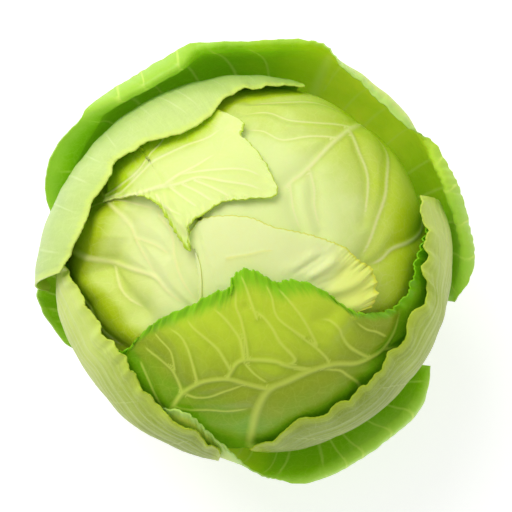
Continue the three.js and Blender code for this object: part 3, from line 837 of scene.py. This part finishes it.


# colour of the painted shade beside the crown veins
PAINTED_VEIN_SHADE = (196, 214, 60)
SKINS = {
    "crown": leaf_skin("crown_skin", (232, 252, 160), (206, 228, 92), (196, 224, 20), (248, 252, 176),
                       (206, 222, 84), PAINTED_VEIN_SHADE),
    "crown_green": leaf_skin("crown_side_skin", (238, 254, 168), (212, 232, 100), (184, 206, 18),
                             (250, 252, 168), (190, 214, 60), PAINTED_VEIN_SHADE),
    "centre": leaf_skin("crown_centre_skin", (238, 254, 170), (230, 244, 124), (222, 236, 102),
                        (240, 248, 140), (216, 222, 60), (214, 220, 90)),
    "torn": leaf_skin("crown_torn_skin", (232, 252, 150), (216, 240, 104), (196, 230, 20),
                      (250, 253, 184), (186, 216, 20), (200, 226, 60)),
    # front: the mid and deep greens also serve as painted shade on the leaf's lower part
    "front": leaf_skin("front_leaf_skin", (200, 226, 48), (156, 176, 28), (126, 186, 2),
                       (224, 240, 100), (132, 204, 4), (120, 150, 8), painted_vein_shade_strength=0.6),
    # wrapper: the deep green on the wrappers' lower sides is painted shade
    "wrapper": leaf_skin("wrapper_outer_skin", (210, 230, 108), (180, 202, 64), (140, 162, 26),
                         (226, 238, 150), (200, 222, 50), (150, 170, 60), bloom=0.6,
                         bloom_colour=(180, 188, 146), base_white=0.7, streak=0.7, vein_strength=0.3,
                         painted_vein_shade_strength=0.2, rim_strength=0.45, grain=(8, 60, 1)),
    "wrapper_inner": leaf_skin("wrapper_inner_skin", (196, 230, 40), (186, 224, 14), (180, 222, 8),
                               (210, 234, 90), (200, 224, 90), (140, 180, 10), gloss=0.36),
    "upper": leaf_skin("upper_wrapper_outer_skin", (212, 236, 134), (196, 222, 120), (176, 206, 106),
                       (232, 246, 176), (214, 236, 108), (170, 200, 96), bloom=0.6,
                       bloom_colour=(176, 202, 142), base_white=0.7, streak=0.5, vein_strength=0.4,
                       painted_vein_shade_strength=0.25),
    "outer": leaf_skin("outer_leaf_back_skin", (214, 232, 84), (176, 218, 90), (150, 208, 70),
                       (212, 236, 150), (186, 224, 110), (130, 180, 50), bloom=0.35,
                       bloom_colour=(170, 206, 140), base_white=0.7, vein_strength=0.35,
                       painted_vein_shade_strength=0.2),
    "outer_inner": leaf_skin("outer_leaf_face_skin", (236, 248, 66), (190, 222, 20), (146, 202, 8),
                             (228, 244, 120), (178, 216, 84), (160, 200, 6), gloss=0.34,
                             vein_strength=0.45, painted_vein_shade_strength=0.0, rim_strength=0.6, glow=0.13),
}
print("skins:", len(SKINS))

# %% Grow the leaves
for node_name, (settings, outer_face, inner_face) in LEAVES.items():
    leaf = {**PLAIN_LEAF, **settings}
    veins = [listed_vein(*vein) for vein in leaf["veins"]] if "veins" in leaf else comb_of_veins(leaf)
    blade = make_leaf(node_name + "_blade", leaf, veins)
    blade.data.materials.append(SKINS[outer_face])
    blade.data.materials.append(SKINS[inner_face])
    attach(blade, "root")
    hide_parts(node_name)

# %% [markdown]
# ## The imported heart
# Nothing of the heart shows while the leaves are on, but it carries them, so it gets a real shape:
# an icosphere, which has no poles, stretched to the ball's size, with the soft steps that the edges
# of the pressed leaves leave on it.

# %% Heart
def make_heart():
    bm = bmesh.new()
    bmesh.ops.create_icosphere(bm, subdivisions=6, radius=1)
    obj = to_object("packed_heart_ball", bm)
    d = coordinates(obj.data)
    d /= np.linalg.norm(d, axis=1, keepdims=True)
    turn = np.arctan2(d[:, 1], d[:, 0]) / TURN
    steps = 0.35 * smooth(0.0, 0.12, (turn * 5 + 0.4 * d[:, 2]) % 1) - 0.35
    co = d * (heart_radius(d) - HEART_GAP + steps)[:, None]
    co[:, 2] += HEART_Z
    obj.data.vertices.foreach_set("co", (co * MM).ravel())
    s = Shader("heart_skin")
    cloud = s.noise(45, 4)
    lines = s.node("ShaderNodeTexVoronoi", {"feature": "DISTANCE_TO_EDGE"},
                   {"Vector": s.place(), "Scale": 40.0}, "Distance")
    colour = s.mix(cloud, srgb(236, 242, 196), srgb(222, 234, 150))
    colour = s.mix(1 - lines.step(0, 0.05), colour, srgb(246, 248, 214))
    bump = s.node("ShaderNodeBump", {}, {"Strength": 0.3, "Distance": 0.0005,
                                         "Height": lines.step(0, 0.1)}, "Normal")
    obj.data.materials.append(s.surface(Base_Color=colour, Roughness=0.4 + cloud * 0.1, Normal=bump,
                                        Subsurface_Weight=0.2, Subsurface_Radius=(0.6, 1.0, 0.2),
                                        Subsurface_Scale=0.002))
    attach(obj, "root")
    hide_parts("packed_heart")


make_heart()

# %% [markdown]
# ## The cut stem
# The stem is cut across with a knife just below the lowest leaves. The cut dries a little: the rim
# turns brown, a ring of tougher strands shows as dots, and the middle stays pale. It is turned as
# rings of a cylinder, each ring moved out or in, with the scars of the leaves that were pulled off.

# %% Stem
def make_stem():
    low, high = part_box("stem_stump")
    radius, height = (high.x - low.x) / 2 / MM, (high.z - low.z) / MM
    bm = bmesh.new()
    bmesh.ops.create_cone(bm, cap_ends=True, segments=96, radius1=radius, radius2=radius * 0.75,
                          depth=height,
                          matrix=Matrix.Translation((0, 0, height / 2)))
    sides = [e for e in bm.edges if abs(e.verts[0].co.z - e.verts[1].co.z) > 1]
    bmesh.ops.subdivide_edges(bm, edges=sides, cuts=28, use_grid_fill=True)
    caps = [f for f in bm.faces if abs(f.normal.z) > 0.99 and len(f.verts) > 4]
    for _ in range(4):
        bmesh.ops.inset_region(bm, faces=caps, thickness=radius / 6.5, use_even_offset=True)
        caps = [f for f in bm.faces if abs(f.normal.z) > 0.99 and len(f.verts) > 4]
    obj = to_object("stem_stump_piece", bm)
    co = coordinates(obj.data)
    r = np.hypot(co[:, 0], co[:, 1])
    turn = np.arctan2(co[:, 1], co[:, 0])
    z = co[:, 2]
    wall = smooth(0.7, 1.0, r / (radius * (1 - 0.25 * z / height)))
    scars = 0.5 * np.sin(z * 1.7 + 1.5 * np.sin(turn * 2 + z * 0.2)) * smooth(0.5, 3, z)
    ribs = 0.25 * np.sin(turn * 13 + np.sin(z))
    scale = 1 + wall * (scars + ribs - 0.8 - 0.7 * smooth(1.5, 0, z)) / np.maximum(r, 1)
    co[:, 0] *= scale
    co[:, 1] *= scale
    obj.data.vertices.foreach_set("co", (co * MM).ravel())
    s = Shader("stem_skin")
    place = s.node("ShaderNodeSeparateXYZ", {}, {"Vector": s.place()}, "X")
    node = place.socket.node
    x, y, z_place = (Value(s, node.outputs[k]) for k in range(3))
    ring = ((x * x + y * y) ** 0.5) * 1000
    cloud = s.noise(160, 4)
    strands = s.node("ShaderNodeTexVoronoi", {}, {"Vector": s.place(), "Scale": 620.0}, "Distance")
    colour = s.mix(cloud, srgb(232, 232, 186), srgb(206, 214, 140))
    band = ring.step(radius * 0.55, radius * 0.62) * (1 - ring.step(radius * 0.72, radius * 0.8))
    colour = s.mix(band * (1 - strands.step(0.1, 0.4)) * 0.8, colour, srgb(168, 160, 96))
    colour = s.mix(ring.step(radius * 0.86, radius * 0.99) * (1 - z_place.step(0.001, 0.004)) * 0.7,
                   colour,
                   srgb(150, 122, 70))
    bump = s.node("ShaderNodeBump", {}, {"Strength": 0.5, "Distance": 0.0006,
                                         "Height": cloud + strands * 0.4}, "Normal")
    obj.data.materials.append(s.surface(Base_Color=colour, Roughness=0.6 + cloud * 0.2, Normal=bump,
                                        Subsurface_Weight=0.1, Subsurface_Scale=0.001))
    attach(obj, "root")
    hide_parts("stem_stump")


make_stem()

# %% [markdown]
# ## Floor, light and camera
# The head stands on a white sweep under one very large soft lamp, up and behind to the left, while
# a white surrounding fills the shadows. The camera looks almost straight down on the crown through
# a long lens, so the near and far leaves keep their sizes. The Standard view keeps the greens as
# fresh as they are in the materials.

# %% Stage
FLOOR_HALF_WIDTH = 3.0
LAMP_WIDTH = 1.1
LAMP_WATTS = 12.5
LAMP_PLACE = (-0.55, 0.75, 1.25)
LAMP_AIM_Z = 0.1
SURROUND = 0.54  # strength of the white world

bm = bmesh.new()
bmesh.ops.create_grid(bm, x_segments=4, y_segments=4, size=FLOOR_HALF_WIDTH)
floor = to_object("floor", bm)
paper = Shader("white_paper")
floor.data.materials.append(paper.surface(Base_Color=(0.78, 0.77, 0.79), Roughness=0.9,
                                            Emission_Color=(1, 1, 1), Emission_Strength=0.53))
floor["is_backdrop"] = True

world = bpy.data.worlds.new("studio")
bpy.context.scene.world = world
world.use_nodes = True
world.node_tree.nodes["Background"].inputs["Color"].default_value = (1, 1, 1, 1)
world.node_tree.nodes["Background"].inputs["Strength"].default_value = SURROUND

lamp = bpy.data.lights.new("soft_box", "AREA")
lamp.shape = "DISK"
lamp.size = LAMP_WIDTH
lamp.energy = LAMP_WATTS
lamp_object = bpy.data.objects.new("soft_box", lamp)
lamp_object.location = LAMP_PLACE
aim = Vector((0, 0, LAMP_AIM_Z)) - lamp_object.location
lamp_object.rotation_euler = aim.to_track_quat("-Z", "Y").to_euler()
bpy.context.scene.collection.objects.link(lamp_object)

ELEVATION = math.radians(82)
DISTANCE = 0.915
TARGET_Z = 0.092
camera = bpy.data.cameras.new("camera")
camera.lens = 135
camera.sensor_width = 36
camera.shift_x = -0.001
camera.shift_y = 0.0117
camera_object = bpy.data.objects.new("camera", camera)
camera_object.location = (0, -DISTANCE * math.cos(ELEVATION), TARGET_Z + DISTANCE * math.sin(ELEVATION))
camera_object.rotation_euler = (math.pi / 2 - ELEVATION, 0, 0)
bpy.context.scene.collection.objects.link(camera_object)
bpy.context.scene.camera = camera_object
bpy.context.scene.view_settings.view_transform = "Standard"

# %% Measure the object
visual_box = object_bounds()
for label, box in (("cad", cad_box), ("visual", visual_box)):
    print(label, [round(x / MM, 1) for p in box for x in p])
